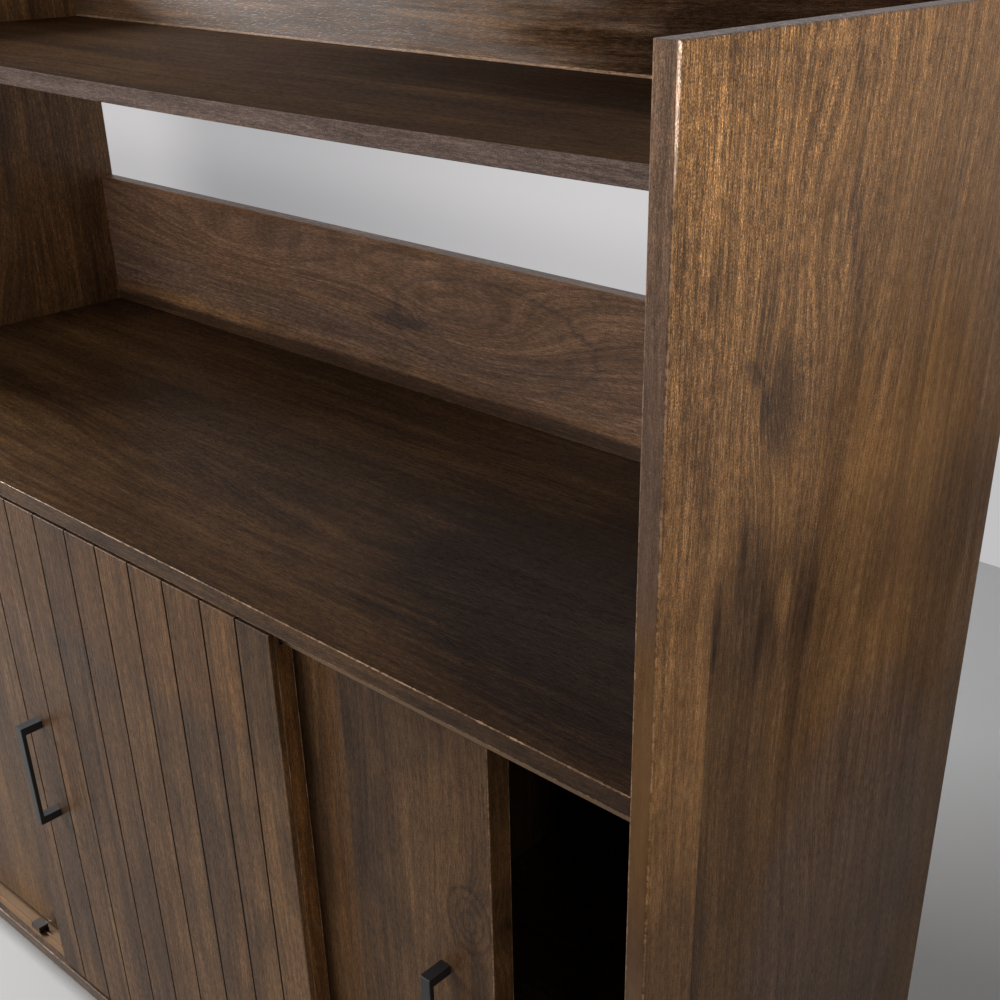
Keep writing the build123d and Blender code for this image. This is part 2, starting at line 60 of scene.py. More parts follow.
def make_camera():
    """The camera that sees the cabinet as the photograph does."""
    data = bpy.data.cameras.new("camera")
    data.sensor_fit = "HORIZONTAL"
    data.sensor_width = SENSOR_WIDTH
    data.lens = FOCAL_LENGTH
    data.shift_x, data.shift_y = CAMERA_SHIFT
    data.clip_start = NEAREST_SEEN
    camera = bpy.data.objects.new("camera", data)
    camera.location = CAMERA_PLACE
    camera.rotation_euler = (math.radians(90 - CAMERA_PITCH), 0, math.radians(CAMERA_YAW))
    bpy.context.scene.collection.objects.link(camera)
    bpy.context.scene.camera = camera


# Node helpers

def linear(red, green, blue):
    """Scene-linear colour from display values of 0 to 255."""
    def decode(value):
        value /= 255
        return value / 12.92 if value <= 0.04045 else ((value + 0.055) / 1.055) ** 2.4
    return (decode(red), decode(green), decode(blue), 1.0)


def new_material(name):
    """A material and its shader."""
    material = bpy.data.materials.new(name)
    material.use_nodes = True
    return material, material.node_tree.nodes["Principled BSDF"]


class Graph:
    """Adds nodes to one node tree, with links or plain values on their inputs."""

    def __init__(self, tree):
        self.tree = tree

    def put(self, target, value):
        """Link an output to an input, or set the input to a plain value."""
        if isinstance(value, bpy.types.NodeSocket):
            self.tree.links.new(value, target)
        else:
            target.default_value = value

    def add(self, kind, inputs=(), **settings):
        """One node, its settings and its inputs by name or number."""
        node = self.tree.nodes.new(kind)
        for key, value in settings.items():
            setattr(node, key, value)
        for key, value in dict(inputs).items():
            self.put(node.inputs[key], value)
        return node

    def math(self, operation, *values, clamp=False):
        node = self.add("ShaderNodeMath", enumerate(values), operation=operation, use_clamp=clamp)
        return node.outputs[0]

    def total(self, *values):
        result = values[0]
        for value in values[1:]:
            result = self.math("ADD", result, value)
        return result

    def hold(self, value):
        """Hold a value between 0 and 1."""
        return self.math("ADD", value, 0.0, clamp=True)

    def vector(self, x, y, z):
        return self.add("ShaderNodeCombineXYZ", {0: x, 1: y, 2: z}).outputs[0]

    def split(self, vector):
        """The x, y and z of a vector."""
        return self.add("ShaderNodeSeparateXYZ", {0: vector}).outputs

    def vector_math(self, operation, *values):
        node = self.add("ShaderNodeVectorMath", enumerate(values), operation=operation)
        return node.outputs["Value" if operation == "LENGTH" else "Vector"]

    def scale(self, vector, factor):
        """A vector or a colour times a number."""
        node = self.add("ShaderNodeVectorMath", {0: vector, "Scale": factor}, operation="SCALE")
        return node.outputs["Vector"]

    def object_place(self):
        return self.add("ShaderNodeTexCoord").outputs["Object"]

    def noise(self, place, detail, roughness):
        """Noise from 0 to 1 at a place that already has its scale."""
        inputs = {"Vector": place, "Scale": 1.0, "Detail": detail, "Roughness": roughness}
        return self.add("ShaderNodeTexNoise", inputs).outputs[0]

    def span(self, value, low, high, out_low=0.0, out_high=1.0):
        """Ease a value from one range into another, and hold it at the ends."""
        inputs = {0: value, 1: low, 2: high, 3: out_low, 4: out_high}
        return self.add("ShaderNodeMapRange", inputs, interpolation_type="SMOOTHSTEP").outputs[0]

    def swing(self, noise, out_low, out_high):
        """Ease the middle of a noise's range into another range."""
        return self.span(noise, 0.3, 0.7, out_low, out_high)

    def mix(self, share, first, second):
        """Two colours, with a share of the second from 0 to 1."""
        return self.add("ShaderNodeMix", {0: share, 6: first, 7: second}, data_type="RGBA").outputs[2]

    def bell(self, distance):
        """A smooth hump of height 1 that falls off with a distance counted in widths."""
        square = self.math("MULTIPLY", distance, distance)
        return self.math("EXPONENT", self.math("MULTIPLY", square, -1.0))

    def emboss(self, shader, strength, depth, height):
        """Let a height from 0 to 1 shade a surface as relief of some depth in metres."""
        bump = self.add("ShaderNodeBump", {"Strength": strength, "Distance": depth, "Height": height})
        self.put(shader.inputs["Normal"], bump.outputs["Normal"])


# Wood

GOLD = linear(138, 101, 64)
BROWN = linear(108, 76, 48)
GREY_BROWN = linear(88, 64, 45)
DARK = linear(54, 38, 27)
# Dark of the grain's lines, also used as painted shade in grooves and along a foot
DARK_LINE_AND_SHADE = linear(42, 28, 19)
# Pale colour of worn edges, which also paints highlights along the arrises
WORN_AND_HIGHLIGHT = linear(196, 158, 126)
# Painted highlight on an arris
ARRIS_HIGHLIGHT = linear(238, 205, 182)
# Grey that paints sheen and reflection on lacquered faces
SHEEN_GREY = linear(100, 85, 80)
# Grey of painted sheen on a front edge
SHEEN_GREY_EDGE = linear(118, 102, 95)
AMBER = linear(122, 80, 40)

# Layers of noise in the grain: cells per metre across, along and through it, detail and roughness. The
# broad layers bend with the grain, and the fine ones only drift.
BROAD_LAYERS = {
    "bands": ((20, 1.3, 8), 3, 0.55),
    "greyness": ((9, 2.2, 5), 2, 0.5),
    "streaks": ((120, 3.2, 40), 3, 0.6),
    "threads": ((360, 12, 120), 2, 0.6),
    "lines": ((75, 0.8, 20), 2, 0.5),
    "ripple": ((35, 75, 30), 2, 0.5),
    "mottle": ((30, 13, 20), 3, 0.6),
}
FINE_LAYERS = {
    "fibres": ((950, 110, 950), 2, 0.6),
    "specks": ((1350, 700, 1350), 1, 0.5),
    "pores": ((800, 150, 800), 1, 0.5),
}

# Contrast of the layers, in stops to either side
LAYER_STOPS = {
    "streaks": 0.32,
    "threads": 0.42,
    "fibres": 0.60,
    "specks": 0.60,
    "ripple": 0.08,
    "mottle": 0.10,
}
PORE_STOPS = 0.30
MOTTLE_GOLD = 0.12
PORE_ROUGHNESS = (0.40, 0.55)
FIBRE_ROUGHNESS = 0.04
FIBRE_HEIGHT = 0.6
GRAIN_RELIEF = (0.35, 0.0003)

# The way the grain runs on a board
DRIFT_CELLS = (1.6, 6.0, 6.0)
DRIFT = 0.04
SLANT_THROUGH = 0.6
KNOT_BEND = 2.2
KNOT_DARKNESS = 0.9
PLANK_SEED_STEP = 5.3
PLANK_END_FADE = (-70, 50)

# Edges of the patches, growth lines and marks on a board
RAGGED_CELLS = (60.0, 7.0, 30.0)
PATCH_RAGGEDNESS = 0.7
LINE_RAGGEDNESS = 0.3
PATCH_EDGE = (0.1, 0.8)
MARK_EDGE = (0.45, 0.65)

# Wear of the long edges, whose pale colour also paints highlights along the arrises: its least and most width
# in mm, and the cells per metre that break it up
WEAR_WIDTH = (0.4, 1.8)
WEAR_CELLS = 260.0
WEAR_STRETCHES = 34.0
WEAR_POLISH = -0.2


def make_grain_group():
    """Stained hardwood: bands and streaks that follow one phase across the grain, and fine fibres."""
    group = bpy.data.node_groups.new("wood_grain", "ShaderNodeTree")

    def sockets(direction, kind, *names):
        for name in names:
            group.interface.new_socket(name, in_out=direction, socket_type="NodeSocket" + kind)

    sockets("INPUT", "Float", "Along", "Across", "Phase", "Through", "Seed", "Gold", "Darkness", "Lines",
            "Figure", "Tinted")
    sockets("INPUT", "Color", "Tint")
    sockets("OUTPUT", "Color", "Color")
    sockets("OUTPUT", "Float", "Roughness", "Height")
    g = Graph(group)
    given = g.add("NodeGroupInput").outputs

    def layer(across, cells, detail, roughness):
        place = g.vector(
            g.math("MULTIPLY_ADD", across, cells[0], given["Seed"]),
            g.math("MULTIPLY_ADD", given["Along"], cells[1], given["Seed"]),
            g.math("MULTIPLY", given["Through"], cells[2]),
        )
        return g.noise(place, detail, roughness)

    layers = {name: layer(given["Phase"], *form) for name, form in BROAD_LAYERS.items()}
    layers.update({name: layer(given["Across"], *form) for name, form in FINE_LAYERS.items()})
    fibres, pores = layers["fibres"], layers["pores"]

    mottle = g.swing(layers["mottle"], -MOTTLE_GOLD, MOTTLE_GOLD)
    golden = g.hold(g.total(g.span(layers["bands"], 0.22, 0.78), mottle, given["Gold"]))
    brown = g.mix(g.span(layers["greyness"], 0.35, 0.65), GREY_BROWN, BROWN)
    colour = g.mix(golden, brown, GOLD)
    colour = g.mix(given["Darkness"], colour, DARK)
    line = g.span(layers["lines"], 0.60, 0.72)
    colour = g.mix(g.math("MULTIPLY", line, given["Lines"]), colour, DARK_LINE_AND_SHADE)
    colour = g.mix(given["Tinted"], colour, given["Tint"])
    contrasts = [g.swing(layers[name], -stops, stops) for name, stops in LAYER_STOPS.items()]
    stops = g.total(*contrasts, g.span(pores, 0.58, 0.72, 0.0, -PORE_STOPS))
    brightness = g.math("POWER", 2.0, g.math("MULTIPLY", stops, given["Figure"]))
    open_pores = g.span(pores, 0.6, 0.7)
    g.add("NodeGroupOutput", {
        "Color": g.scale(colour, brightness),
        "Roughness": g.total(g.span(pores, 0.6, 0.7, *PORE_ROUGHNESS),
                             g.swing(fibres, FIBRE_ROUGHNESS, -FIBRE_ROUGHNESS)),
        "Height": g.math("SUBTRACT", g.math("MULTIPLY", fibres, FIBRE_HEIGHT), open_pores),
    })
    return group


grain_group = make_grain_group()


class Board(Graph):
    """The nodes of one board, with its places along, across and through the grain."""

    def __init__(self, tree, along, across):
        super().__init__(tree)
        through = (set(AXES) - {along, across}).pop()
        self.grain = along
        self.place = self.object_place()
        parts = dict(zip(AXES, self.split(self.place)))
        self.along, self.across, self.through = parts[along], parts[across], parts[through]

    def reach_from(self, centre, size, lean=0.0):
        """Distance on the face, in sizes, from a place given along and across.

        lean is how far the sizes slant across for each step along.
        """
        along = self.math("MULTIPLY_ADD", self.along, 1 / (size[0] * MM), -centre[0] / size[0])
        across = self.math("MULTIPLY_ADD", self.across, 1 / (size[1] * MM), -centre[1] / size[1])
        across = self.math("MULTIPLY_ADD", along, -lean * size[0] / size[1], across)
        return self.vector_math("LENGTH", self.vector(along, across, 0.0))

    def oval(self, centre, size, lean=0.0):
        """A smooth hump on the face, around a place."""
        return self.bell(self.reach_from(centre, size, lean))

    def seeded_noise(self, seed, places, cells, detail, roughness):
        """Noise from three coordinates and their cells per metre, shifted by a seed."""
        return self.noise(self.vector(
            self.math("MULTIPLY_ADD", places[0], cells[0], seed),
            self.math("MULTIPLY", places[1], cells[1]),
            self.math("MULTIPLY", places[2], cells[2]),
        ), detail, roughness)

    def bend_grain(self, seed, swirls, knots):
        """Let the grain drift and flow round swirls and knots, and give the eyes of the knots."""
        drift = self.seeded_noise(seed, (self.along, self.across, self.through), DRIFT_CELLS, 2, 0.5)
        drifting = self.math("MULTIPLY_ADD", drift, DRIFT, self.across)
        self.drifting = self.phase = self.math("MULTIPLY_ADD", self.through, SLANT_THROUGH, drifting)
        for centre, size, strength in swirls:
            self.phase = self.math("MULTIPLY_ADD", self.oval(centre, size), strength * MM, self.phase)
        eyes = []
        for centre, size in knots:
            eyes.append(self.oval(centre, size))
            self.phase = self.math("MULTIPLY_ADD", eyes[-1], KNOT_BEND * size[1] * MM, self.phase)
        ragged = self.seeded_noise(seed, (self.phase, self.along, self.through), RAGGED_CELLS, 3, 0.6)
        self.raggedness = self.math("SUBTRACT", ragged, 0.5)
        return eyes

    def patches(self, places, start, factor=1.0):
        """A value with patches added to it, whose strengths are multiplied by a factor."""
        result = start
        for centre, size, strength, *lean in places:
            hump = self.oval(centre, size, *lean)
            patch = self.math("MULTIPLY_ADD", self.raggedness, PATCH_RAGGEDNESS, hump)
            result = self.math("MULTIPLY_ADD", self.span(patch, *PATCH_EDGE), factor * strength, result)
        return result

    def growth_lines(self, rings, start):
        """A value with the rims of ovals added to it."""
        result = start
        for centre, size, width, strength in rings:
            reach = self.reach_from(centre, size)
            reach = self.math("MULTIPLY_ADD", self.raggedness, LINE_RAGGEDNESS, reach)
            rim = self.bell(self.math("MULTIPLY_ADD", reach, 1 / width, -1 / width))
            result = self.math("MULTIPLY_ADD", rim, strength, result)
        return result

    def tints(self, marks):
        """Colour of the marks, and how strong they are."""
        tint, tinted = SHEEN_GREY, 0.0
        for centre, size, strength, colour in marks:
            shrink = [1 / (value * MM) for value in size]
            start = [-value / width for value, width in zip(centre, size)]
            distance = self.vector_math("LENGTH", self.vector_math("MULTIPLY_ADD", self.place, shrink, start))
            ragged = self.math("MULTIPLY_ADD", self.raggedness, LINE_RAGGEDNESS, self.bell(distance))
            share = self.span(ragged, *MARK_EDGE)
            tint = self.mix(share, tint, colour)
            tinted = self.math("MAXIMUM", tinted, self.math("MULTIPLY", share, strength))
        return tint, tinted

    def edge_distance(self, node):
        """How far a point of the surface lies from the nearest long edge, in millimetres."""
        low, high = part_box(node)
        inward = self.vector_math("ABSOLUTE", self.vector_math("SUBTRACT", self.place, (low + high) / 2))
        depth = self.vector_math("SUBTRACT", (high - low) / 2, inward)
        across, through = (part for axis, part in zip(AXES, self.split(depth)) if axis != self.grain)
        return self.math("MULTIPLY", self.math("MAXIMUM", across, through), 1 / MM)

    def rubbed_edges(self, node, rounding):
        """How far the long edges are worn, from 0 to 1, in ragged stretches; the pale wear there is also a
        painted highlight along the arrises.
        """
        ragged = self.noise(self.scale(self.place, WEAR_CELLS), 3, 0.7)
        reach = self.swing(ragged, *(width * rounding for width in WEAR_WIDTH))
        worn_and_lit = self.span(self.math("DIVIDE", self.edge_distance(node), reach), 0.4, 1.0, 1.0, 0.0)
        stretches = self.noise(self.scale(self.place, WEAR_STRETCHES), 2, 0.6)
        return self.math("MULTIPLY", worn_and_lit, self.span(stretches, 0.4, 0.62, 0.3, 1.0))


def wood(node, along, across, seed, gold=0.0, darkness=0.0, lines=0.5, wear=0.5, stain=1.0, gloss=0.3,
         rough=0.0, rounding=1.0, figure=1.0, swirls=(), knots=(), rings=(), golds=(), darker_patches=(),
         dulls=(), calms=(), marks=(), joints=()):
    """Give one board its lacquered wood, whose stain is worn along the edges, with painted highlights there.

    along and across are the axes of its grain. gold and darkness make the whole board more golden or darker,
    and lines is the strength of its dark lines. wear is how much the edges are worn, in a pale colour that is
    partly painted highlight along the arrises, and rounding widens that. stain multiplies the colour, gloss
    is the strength of the sheen, rough dulls it, and figure is the contrast of the grain.

    swirls are ovals that the grain flows round, as (centre, size, strength in mm).
    knots are dark eyes with tight rings, as (centre, size).
    rings are dark growth lines, as (centre, size, width as a share of the size, strength).
    golds and darker_patches are golden and darker patches, some of them painted light and shade, as (centre,
    size, strength) and, if slanted, lean.
    dulls are patches without sheen and calms are patches with less figure, in the same form.
    marks are places of another colour, some of them painted sheen, highlights and shade, as (centre and size
    in x, y and z, strength, colour).
    joints are changes across the board, at glue lines and at face edges, where some stand partly for painted
    sheen and shade, as (place across, gold beyond, darkness beyond) and, if the difference ends there, the
    place along.
    """
    material, shader = new_material(node + "_wood")
    board = Board(material.node_tree, along, across)
    eyes = board.bend_grain(seed, swirls, knots)
    golden = board.patches(golds, gold)
    dark = darkness
    for eye in eyes:
        dark = board.math("MULTIPLY_ADD", board.math("POWER", eye, 3.0), KNOT_DARKNESS, dark)
    dark = board.patches(darker_patches, board.growth_lines(rings, dark))
    plank_seed = seed
    for place, gold_beyond, darkness_beyond, *ends in joints:
        beyond = board.math("GREATER_THAN", board.across, place * MM)
        plank_seed = board.math("MULTIPLY_ADD", beyond, PLANK_SEED_STEP, plank_seed)
        for end in ends:
            low, high = ((end + fade) * MM for fade in PLANK_END_FADE)
            beyond = board.math("MULTIPLY", beyond, board.span(board.along, low, high, 1.0, 0.0))
        golden = board.math("MULTIPLY_ADD", beyond, gold_beyond, golden)
        dark = board.math("MULTIPLY_ADD", beyond, darkness_beyond, dark)

    tint, tinted = board.tints(marks)
    grain = board.add("ShaderNodeGroup", {
        "Along": board.along,
        "Across": board.drifting,
        "Phase": board.phase,
        "Through": board.through,
        "Seed": plank_seed,
        "Gold": golden,
        "Darkness": board.hold(dark),
        "Lines": lines,
        "Figure": board.patches(calms, figure, -figure),
        "Tint": tint,
        "Tinted": tinted,
    }, node_tree=grain_group).outputs
    worn_and_lit = board.rubbed_edges(node, rounding)
    stained = board.scale(grain["Color"], stain)
    # Worn edges in a pale colour, which is partly painted highlight along the arrises
    board.put(shader.inputs["Base Color"], board.mix(board.math("MULTIPLY", worn_and_lit, wear), stained, WORN_AND_HIGHLIGHT))
    polished = board.math("MULTIPLY_ADD", worn_and_lit, WEAR_POLISH, rough)
    board.put(shader.inputs["Roughness"], board.math("ADD", grain["Roughness"], polished))
    board.put(shader.inputs["Specular IOR Level"], board.patches(dulls, gloss, -gloss))
    board.emboss(shader, *GRAIN_RELIEF, grain["Height"])
    dress(node, material)


def dress(node, material):
    """Give one of the cabinet's own pieces its finish."""
    for slot in nodes[node].material_slots:
        slot.material = material


# Figure of the right side panel, from the photograph: along is the height, and across is the depth
SIDE_FIGURE = {
    "swirls": [((1190, -90), (90, 50), 22), ((1330, 60), (260, 130), -45), ((760, -40), (190, 70), 30),
               ((1075, -125), (60, 34), 18)],
    "golds": [
        ((1250, -80), (170, 260), 0.4), ((1170, -176), (38, 3.5), 0.8), ((1148, -192), (6, 3), 1.0),
        ((1160, -120), (80, 5), 0.5), ((1200, -55), (90, 4), 0.7, -0.25),
        ((1220, -20), (90, 4), 0.6, -0.25), ((1090, -152), (22, 4), 0.7, -0.9),
        ((1060, -164), (40, 8), 0.5), ((975, -162), (45, 4.5), 0.7), ((914, -88), (24, 9), 1.0, 0.3),
    ],
    "darker_patches": [
        ((1285, -187), (20, 13), 0.3), ((1275, -127), (25, 12), 0.3), ((1275, -50), (30, 5), 0.4, -0.3),
        ((1163, -190), (20, 13), 0.4), ((1125, -135), (55, 11), 0.35), ((1098, -145), (12, 8), 0.35, -0.8),
        ((1068, -130), (16, 6), 0.35), ((1070, -112), (46, 20), 0.45), ((1150, -30), (120, 10), 0.3, -0.2),
        ((1000, -144), (34, 8), 0.3), ((955, -134), (44, 20), 0.25), ((975, -76), (40, 9), 0.2),
        ((915, -54), (60, 16), 0.2), ((940, -171), (45, 4), 0.3), ((1030, 0), (190, 500), 0.25),
        ((520, 0), (330, 420), 0.15), ((620, -205), (140, 40), 0.35), ((700, 40), (190, 170), -0.12),
        ((930, -120), (70, 50), 0.15), ((914, -86), (26, 11), -0.4), ((900, 60), (170, 95), -0.25),
    ],
    "dulls": [((880, 90), (300, 240), 0.9), ((840, -239), (260, 5), 0.9)],
    "calms": [((560, 0), (560, 900), 0.5), ((1150, 200), (300, 260), 0.3), ((1000, -238), (1200, 1.2), 0.45)],
    "marks": [
        # Painted sheen in grey on the front edge, where the grey is partly the edge's own tone, and a painted
        # reflection of the pale room along the top face
        ((691, -237.5, 1230), (30, 0.6, 380), 0.45, SHEEN_GREY), ((691, 0, 1300), (30, 600, 0.8), 0.8, SHEEN_GREY),
        # Painted grey sheen low on the outer face, and a painted highlight along the top of the outer front
        # arris
        ((700, 60, 520), (60, 200, 330), 0.35, SHEEN_GREY), ((700, -237.5, 1300), (2.2, 2.2, 110), 1.0, ARRIS_HIGHLIGHT),
    ],
    # The first colour step makes the front edge greyer and darker than the face, partly its own tone and
    # partly painted sheen
    "joints": [(-236.7, 0.65, -0.1), (-176, 0.0, 0.5, 945), (-40, 0.05, 0.0), (90, -0.05, 0.0)],
}

# Knot and arches of the counter's back rail: along is the width, and across is the height
RAIL_FIGURE = {
    "swirls": [((60, 905), (190, 52), 70), ((-330, 930), (300, 50), 60)],
    "knots": [((-18, 905), (20, 8))],
    "rings": [((88, 908), (160, 62), 0.035, 0.55), ((90, 908), (128, 44), 0.05, 0.25),
              ((92, 906), (92, 28), 0.06, 0.2)],
    "darker_patches": [((-65, 897), (48, 9), 0.8), ((30, 905), (150, 30), 0.25)],
    # Painted sheen in grey over the upper part of the rail, and painted shade along its foot where it meets
    # the counter
    "marks": [((100, 244, 915), (2400, 60, 100), 0.35, SHEEN_GREY), ((0, 244, 806), (2400, 14, 34), 0.8, DARK_LINE_AND_SHADE)],
}

# Nested arcs and streaks of the right door: along is the height, and across is the width
DOOR_FIGURE = {
    "swirls": [((568, 486), (40, 30), 22)],
    "rings": [((568, 486), (36, 26), 0.07, 0.45), ((568, 486), (24, 17), 0.09, 0.45),
              ((566, 486), (12, 8), 0.2, 0.5)],
    "golds": [((560, 318), (420, 19), 0.4), ((640, 478), (80, 8), 0.5), ((600, 411), (90, 6), 0.4)],
    "darker_patches": [((745, 440), (50, 30), 0.35)],
    "marks": [((318, -207, 560), (20, 60, 420), 0.55, AMBER)],
    "joints": [(486, 0.0, 0.1)],
}


def dress_case():
    """Wood of the case, board by board."""
    wood("right_side_panel", "z", "y", 2.1, gold=-0.35, darkness=0.1, lines=0.3, gloss=0.22, rounding=1.3,
         figure=1.6, **SIDE_FIGURE)
    wood("left_side_panel", "z", "y", 7.7, gold=-0.1, rounding=1.3,
         swirls=[((700, 40), (300, 60), 60)],
         joints=[(-150, 0.1, 0.0), (-20, -0.1, 0.1), (120, 0.1, 0.0)])
    wood("counter_top", "x", "y", 4.4, gold=-0.45, darkness=0.3, lines=0.3, wear=0.75, stain=0.64, gloss=0.1,
         figure=0.75,
         swirls=[((150, -120), (350, 60), 50)],
         # Painted light and shade: the counter is lighter at the left and darker at the right, in the side
         # panel's shadow
         golds=[((-420, -60), (420, 260), 0.25)],
         darker_patches=[((640, 0), (420, 260), 0.85), ((-60, 0), (300, 260), 0.12)],
         joints=[(-236.9, 0.1, 0.0), (-90, 0.0, 0.05), (60, 0.0, -0.05)])
    wood("counter_back_rail", "x", "z", 3.2, gold=-0.5, lines=0.6, stain=1.82, gloss=0.7, figure=0.85,
         **RAIL_FIGURE)
    wood("upper_back_rail", "x", "z", 5.9, gold=-0.2, darkness=0.1, lines=0.3, stain=0.8, gloss=1.0, rough=0.05,
         # Painted shade: the rail darkens towards the right, where less light falls
         darker_patches=[((640, 1250), (460, 200), 1.0)],
         dulls=[((620, 1250), (620, 300), 1.0)],
         # Painted highlight along the rail's lower arris, in the pale wear colour
         marks=[((0, 244.5, 1205), (2400, 4, 3), 0.5, WORN_AND_HIGHLIGHT)])
    wood("upper_shelf", "x", "y", 8.3, gold=-0.3, darkness=0.1, lines=0.3, stain=0.78, gloss=0.01, rough=0.15,
         figure=0.65,
         # Painted shade at the back of the shelf, beneath the upper back rail
         darker_patches=[((500, 200), (600, 140), 0.6)],
         # Painted sheen in grey along the front edge
         marks=[((0, -87.5, 1195), (1800, 0.6, 30), 0.85, SHEEN_GREY_EDGE)],
         # The colour step at the front edge darkens the top against the edge, partly as painted shade
         joints=[(-87, -0.1, 0.4)])
    # The bottom board, dividers, inner shelves and back panel are darker, partly in their stain and partly as
    # painted shade inside the case
    wood("bottom_board", "x", "y", 9.1, darkness=0.4, stain=0.64)
    wood("front_plinth", "x", "z", 1.3, darkness=0.3)
    wood("rear_plinth", "x", "z", 1.9, darkness=0.3)
    for side, seed in (("left", 6.1), ("right", 6.7)):
        wood(side + "_divider", "z", "y", seed, darkness=0.8, stain=0.5)
    for bay, seed in (("left", 2.7), ("middle", 2.9), ("right", 3.7)):
        wood(bay + "_inner_shelf", "x", "y", seed, darkness=0.5, stain=0.64)
    wood("back_panel", "x", "z", 4.9, darkness=0.5, lines=0.2, stain=0.64)
    wood("dowels", "x", "y", 5.2, gold=0.6, lines=0.1, wear=0.0)


SLATS = 10
SLAT_STREAK = (740, 150, 40)
# Size of the painted shade on the sides of the slats, in the grooves between them, in mm
GROOVE_SHADE = (0.7, 30, 4000)
SLAT_WARMTH = (200, 30, 150)


def dress_doors():
    """Wood of the doors: two plain ones and the slats of the grooved one, the first at the right end."""
    wood("right_door", "z", "x", 3.9, gold=-0.28, lines=0.35, stain=0.62, gloss=0.12, figure=0.75,
         **DOOR_FIGURE)
    wood("left_door", "z", "x", 6.3, gold=-0.28, lines=0.35, stain=0.66, gloss=0.12, figure=0.75,
         joints=[(-520, 0.1, 0.0), (-400, -0.1, 0.1)])
    wood("middle_door_backing", "z", "x", 1.1, darkness=0.1, stain=0.6,
         marks=[((277.5, -220, 430), (6, 60, 2000), 0.8, AMBER)])
    for number in range(1, SLATS + 1):
        name = "middle_door_slat_" + str(number).zfill(2)
        low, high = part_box(name)
        centre, front = (low.x + high.x) / 2 / MM, low.y / MM
        height, *spread = SLAT_STREAK
        streak = ((height, centre), spread)
        # Painted shade in the grooves, on the slat's sides
        sides = [((x / MM, front, 430), GROOVE_SHADE, 0.9, DARK_LINE_AND_SHADE) for x in (low.x, high.x)]
        if number == 1:
            look = {"marks": sides[:1], "darker_patches": [(*streak, 0.5)]}
        else:
            warmth = ((centre, front, 760), SLAT_WARMTH, 0.3, AMBER)
            look = {"marks": [warmth, *sides], "golds": [(*streak, 0.1)], "darker_patches": [(*streak, 0.1)]}
        wood(name, "z", "x", 1.7 * number, gold=0.14 * (number % 3) - 0.4, wear=0.0, stain=0.67, gloss=0.12,
             figure=0.8, **look)


# Metal and plastic

GRIT_CELLS = 900.0
GRIT_SHADE = 0.06
GRIT_ROUGHNESS = 0.05
GRIT_RELIEF = (0.3, 0.0001)


def plain(name, colour, roughness, metallic=0.0):
    """A coated or moulded finish with fine unevenness in its colour, gloss and surface."""
    material, shader = new_material(name)
    g = Graph(material.node_tree)
    grit = g.noise(g.scale(g.object_place(), GRIT_CELLS), 3, 0.6)
    shade = g.swing(grit, 1 - GRIT_SHADE, 1 + GRIT_SHADE)
    g.put(shader.inputs["Base Color"], g.scale(colour[:3], shade))
    unevenness = g.swing(grit, roughness - GRIT_ROUGHNESS, roughness + GRIT_ROUGHNESS)
    g.put(shader.inputs["Roughness"], unevenness)
    shader.inputs["Metallic"].default_value = metallic
    g.emboss(shader, *GRIT_RELIEF, grit)
    return material


def dress_fittings():
    """Handles, rollers, rails, screws and feet."""
    handle = plain("handle_black", linear(18, 18, 20), 0.45)
    steel = plain("screw_zinc", linear(168, 166, 160), 0.35, metallic=1.0)
    nylon = plain("roller_nylon", linear(214, 212, 204), 0.45)
    housing = plain("housing_black", linear(34, 34, 36), 0.5)
    rail = plain("rail_bronze", linear(122, 98, 76), 0.45, metallic=1.0)
    track = plain("track_brown", linear(52, 40, 32), 0.45)
    rubber = plain("bumper_grey", linear(58, 56, 54), 0.7)
    glide = plain("glide_black", linear(40, 40, 42), 0.5)
    for door in ("left_door", "middle_door", "right_door"):
        dress(door + "_handle", handle)
        dress(door + "_handle_screws", steel)
        dress(door + "_roller_housings", housing)
        dress(door + "_roller_axles", steel)
        dress(door + "_groove_liner", housing)
        for side in ("left", "right"):
            dress(door + "_" + side + "_roller", nylon)
    for name in ("back_panel_screws", "top_track_screws", "bottom_rail_screws", "shelf_pins"):
        dress(name, steel)
    dress("top_track", rail)
    dress("bottom_rail", rail)
    dress("rail_stops", track)
    dress("door_bumpers", rubber)
    dress("foot_glides", glide)


# Room: pale floor, pale wall far behind that glows with painted light and shade, soft lamps

ROOM_REACH = 6.0
WALL_HEIGHT = 4.0
WALL_DISTANCE = 1.6
# Dim end of the wall's glow, painted shade
WALL_SHADED_GLOW = linear(158, 157, 159)
WALL_PALE = linear(214, 212, 213)
WALL_ROUGHNESS = 0.9
FLOOR_COLOUR = linear(205, 204, 202)
FLOOR_ROUGHNESS = 0.8
WORLD_COLOUR = (0.9, 0.93, 1.0, 1.0)
WORLD_STRENGTH = 0.06

# Painted light and shade in the wall's glow, in steps: axis, start, end, and how much paler the glow is
# before and after
WALL_LIGHT_STEPS = (("x", -3.1, -2.65, 0.46, 0.0), ("x", -2.6, -0.9, 0.0, 0.58), ("z", 0.45, 0.65, 0.0, 0.28))


def sheet_mesh(name, corners, material):
    """A flat four-cornered piece of the room."""
    mesh = bpy.data.meshes.new(name)
    mesh.from_pydata(corners, [], [(0, 1, 2, 3)])
    mesh.materials.append(material)
    piece = bpy.data.objects.new(name, mesh)
    bpy.context.scene.collection.objects.link(piece)


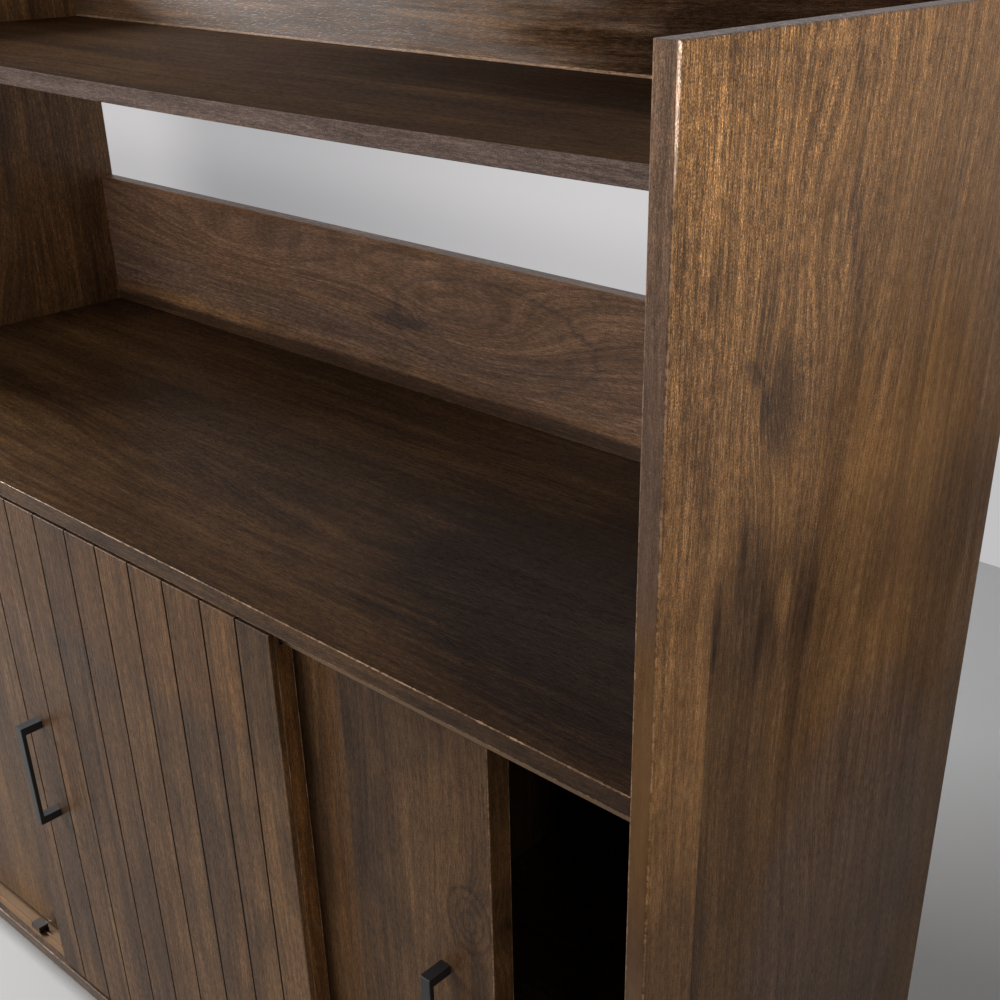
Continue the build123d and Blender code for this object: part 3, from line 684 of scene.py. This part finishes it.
def wall_finish():
    """Paint that lights as a plain one does, and that the camera and reflections see as a glow with painted
    soft light and shade.

    From behind it is clear, so that the cabinet's back can be seen.
    """
    material, shader = new_material("wall_pale")
    g = Graph(material.node_tree)
    shader.inputs["Base Color"].default_value = WALL_PALE
    shader.inputs["Roughness"].default_value = WALL_ROUGHNESS
    parts = dict(zip(AXES, g.split(g.object_place())))
    # Painted light and shade that the wall glows with for the camera and reflections
    painted_light = g.total(*(g.span(parts[axis], *step) for axis, *step in WALL_LIGHT_STEPS))
    glow = g.add("ShaderNodeEmission", {"Color": g.mix(painted_light, WALL_SHADED_GLOW, WALL_PALE), "Strength": 1.0})
    path = g.add("ShaderNodeLightPath").outputs
    seen = g.math("MAXIMUM", path["Is Camera Ray"], path["Is Glossy Ray"])
    seen = g.math("MAXIMUM", seen, path["Is Transmission Ray"])
    front = g.add("ShaderNodeMixShader", {0: seen, 1: shader.outputs[0], 2: glow.outputs[0]}).outputs[0]
    behind = g.add("ShaderNodeNewGeometry").outputs["Backfacing"]
    clear = g.add("ShaderNodeBsdfTransparent").outputs[0]
    blend = g.add("ShaderNodeMixShader", {0: behind, 1: front, 2: clear})
    g.put(material.node_tree.nodes["Material Output"].inputs["Surface"], blend.outputs[0])
    return material


def make_room():
    """The floor, and the wall behind the cabinet."""
    floor, shader = new_material("floor_pale")
    shader.inputs["Base Color"].default_value = FLOOR_COLOUR
    shader.inputs["Roughness"].default_value = FLOOR_ROUGHNESS
    ends = (-ROOM_REACH, ROOM_REACH, ROOM_REACH, -ROOM_REACH)
    sides = (-ROOM_REACH, -ROOM_REACH, ROOM_REACH, ROOM_REACH)
    heights = (0, 0, WALL_HEIGHT, WALL_HEIGHT)
    sheet_mesh("floor", [(x, y, 0) for x, y in zip(ends, sides)], floor)
    wall_y = cad_high.y + WALL_DISTANCE
    sheet_mesh("wall", [(x, wall_y, z) for x, z in zip(ends, heights)], wall_finish())


def softbox(name, place, target, size, watts, colour=(1.0, 1.0, 1.0), spread=180):
    """A rectangular lamp that faces a target."""
    data = bpy.data.lights.new(name, "AREA")
    data.shape = "RECTANGLE"
    data.size, data.size_y = size
    data.energy = watts
    data.color = colour
    data.spread = math.radians(spread)
    lamp = bpy.data.objects.new(name, data)
    lamp.location = place
    facing = Vector(target) - Vector(place)
    lamp.rotation_euler = facing.to_track_quat("-Z", "Y").to_euler()
    bpy.context.scene.collection.objects.link(lamp)


def make_lights():
    """A warm lamp near the right side, a strip for its arris, a window at the left and a broad lamp."""
    softbox("lamp_right", place=(1.6, -0.35, 1.42), target=(0.7, -0.1, 1.3), size=(0.5, 0.5), watts=3.9,
            colour=(1.0, 0.95, 0.86), spread=140)
    softbox("lamp_strip", place=(3.2, -2.5, 0.95), target=(0.7, -0.2, 1.2), size=(0.25, 0.8), watts=10)
    softbox("lamp_window", place=(-3.0, -0.96, 2.17), target=(-0.4, 0.24, 1.24), size=(1.2, 0.8), watts=145,
            colour=(0.95, 0.97, 1.0))
    softbox("lamp_front", place=(-0.9, -3.3, 2.3), target=(0.1, 0.0, 0.8), size=(1.6, 1.2), watts=42,
            colour=(1.0, 0.98, 0.95))
    world = bpy.data.worlds.new("world")
    world.use_nodes = True
    background = world.node_tree.nodes["Background"]
    background.inputs["Color"].default_value = WORLD_COLOUR
    background.inputs["Strength"].default_value = WORLD_STRENGTH
    bpy.context.scene.world = world


make_camera()
dress_case()
dress_doors()
dress_fittings()
make_room()
make_lights()
bpy.context.scene.view_settings.view_transform = "Standard"
